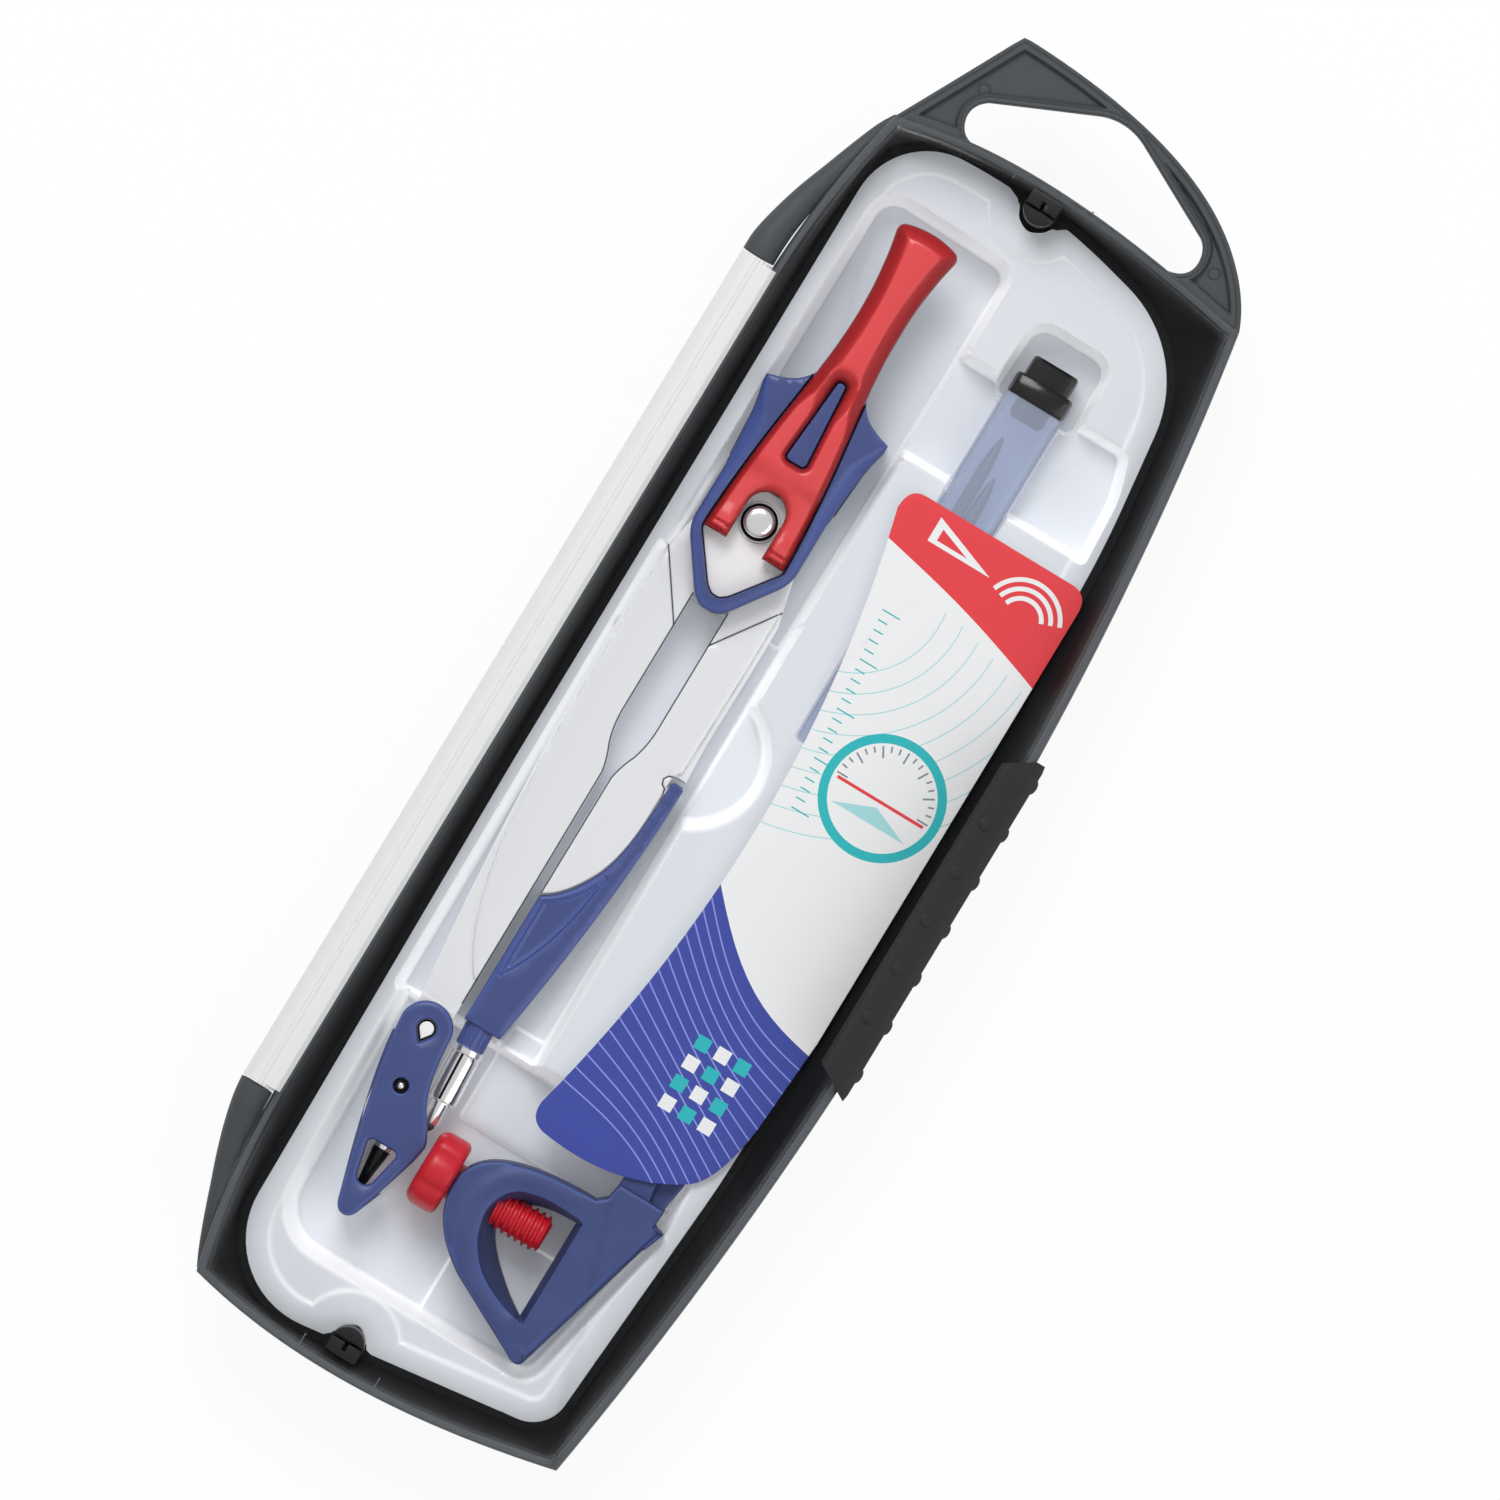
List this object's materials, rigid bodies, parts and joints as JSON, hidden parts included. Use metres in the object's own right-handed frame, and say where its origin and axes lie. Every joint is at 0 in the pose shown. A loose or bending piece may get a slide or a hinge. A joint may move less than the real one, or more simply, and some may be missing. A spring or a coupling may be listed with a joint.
{
  "type": "drafting instrument case",
  "caption": "Long hinged drafting case with a hang tab and a clear lid; its formed tray holds a stop-lever compass, a capped lead tube, a pen adaptor with a thumbscrew, and a card.",
  "frame": {"origin": "bottom centre of the bounding box, on the case's back", "axes": "+X right, away from the hinge; +Y along the case towards its hang tab; +Z out through the lid"},
  "size_m": [0.0785, 0.222, 0.024],
  "materials": {
    "base": "matt, lightly grained",
    "tray": "satin white, thermoformed",
    "lid": "clear, gloss",
    "grip": "matt black, grained",
    "card": "printed, gloss varnish",
    "blue": "satin navy blue",
    "plate": "satin white",
    "chrome": "polished",
    "steel": "bright",
    "washer": "natural nylon",
    "red": "satin red",
    "silver": "satin silver",
    "lead": "graphite grey, satin",
    "tube": "clear blue-grey, gloss",
    "cap": "black, gloss",
    "navy": "matt navy blue",
    "screw": "satin red"
  },
  "bodies": {
    "case": {"base_shell": "base", "tray": "tray"},
    "lid": {"lid_shell": "lid", "thumb_grip": "grip"},
    "card": {"card_insert": "card"},
    "compass": {"head_front": "blue", "head_back": "blue", "head_plate": "plate", "head_rivet": "chrome", "pivot_washers": "washer", "lever_pins": "steel"},
    "lever": {"stop_lever": "red"},
    "needle_leg": {"needle_leg": "silver", "guard_rivet": "chrome", "needle_holder": "chrome", "needle": "steel"},
    "guard": {"needle_guard": "blue", "guard_stud": "chrome"},
    "lead_leg": {"lead_leg": "silver", "arm_pin": "steel"},
    "lead_arm": {"lead_arm": "blue", "collet_collar": "chrome", "lead_collet": "chrome", "compass_lead": "lead"},
    "tube": {"lead_tube": "tube", "spare_leads": "lead"},
    "cap": {"lead_cap": "cap"},
    "adaptor": {"adaptor_frame": "navy"},
    "screw": {"thumbscrew": "screw"}
  },
  "joints": [
    {"name": "lid_hinge", "type": "hinge", "parent": "case", "child": "lid", "pos_m": [-0.0367, 0, 0.0192], "axis": [0, -1, 0], "range_deg": [0, 180]},
    {"name": "compass_lift", "type": "slide", "parent": "case", "child": "compass", "axis": [0, 0, 1], "range_m": [0, 0.06333]},
    {"name": "adaptor_lift", "type": "slide", "parent": "case", "child": "adaptor", "axis": [0, 0, 1], "range_m": [0, 0.01935]},
    {"name": "tube_lift", "type": "slide", "parent": "case", "child": "tube", "axis": [0, 0, 1], "range_m": [0, 0.0759]},
    {"name": "card_lift", "type": "slide", "parent": "case", "child": "card", "axis": [0, 0, 1], "range_m": [0, 0.09475]},
    {"name": "lever_lift", "type": "hinge", "parent": "compass", "child": "lever", "pos_m": [-0.0163, 0.0269, 0.0136], "axis": [1, 0, 0], "range_deg": [0, 28]},
    {"name": "needle_leg_turn", "type": "hinge", "parent": "compass", "child": "needle_leg", "pos_m": [-0.0163, 0.0296, 0.007], "axis": [0, 0, 1], "range_deg": [-11, 0]},
    {"name": "lead_leg_turn", "type": "hinge", "parent": "compass", "child": "lead_leg", "pos_m": [-0.0163, 0.0296, 0.007], "axis": [0, 0, 1], "range_deg": [0, 26]},
    {"name": "lead_arm_turn", "type": "hinge", "parent": "lead_leg", "child": "lead_arm", "pos_m": [-0.0071, -0.0116, 0.007], "axis": [0, 0, 1], "range_deg": [0, 20]},
    {"name": "guard_turn", "type": "hinge", "parent": "needle_leg", "child": "guard", "pos_m": [-0.0198, -0.0602, 0.007], "axis": [0, 0, 1], "range_deg": [-32, 0]},
    {"name": "cap_pull", "type": "slide", "parent": "tube", "child": "cap", "axis": [0, 1, 0], "range_m": [0, 0.003]},
    {"name": "screw_turn", "type": "hinge", "parent": "adaptor", "child": "screw", "pos_m": [-0.0044, -0.0775, 0.0093], "axis": [1, 0, 0], "continuous": true}
  ],
  "couplings": [
    {"joint": "compass_lift", "follows": "lid_hinge", "m_per_rad": 0.02},
    {"joint": "adaptor_lift", "follows": "lid_hinge", "m_per_rad": 0.006},
    {"joint": "tube_lift", "follows": "lid_hinge", "m_per_rad": 0.024},
    {"joint": "card_lift", "follows": "lid_hinge", "m_per_rad": 0.03},
    {"joint": "lever_lift", "follows": "lid_hinge", "ratio": 0.15},
    {"joint": "needle_leg_turn", "follows": "lid_hinge", "ratio": -0.057596},
    {"joint": "lead_leg_turn", "follows": "lid_hinge", "ratio": 0.13963},
    {"joint": "lead_arm_turn", "follows": "lid_hinge", "ratio": 0.10472},
    {"joint": "guard_turn", "follows": "lid_hinge", "ratio": -0.17453}
  ]
}
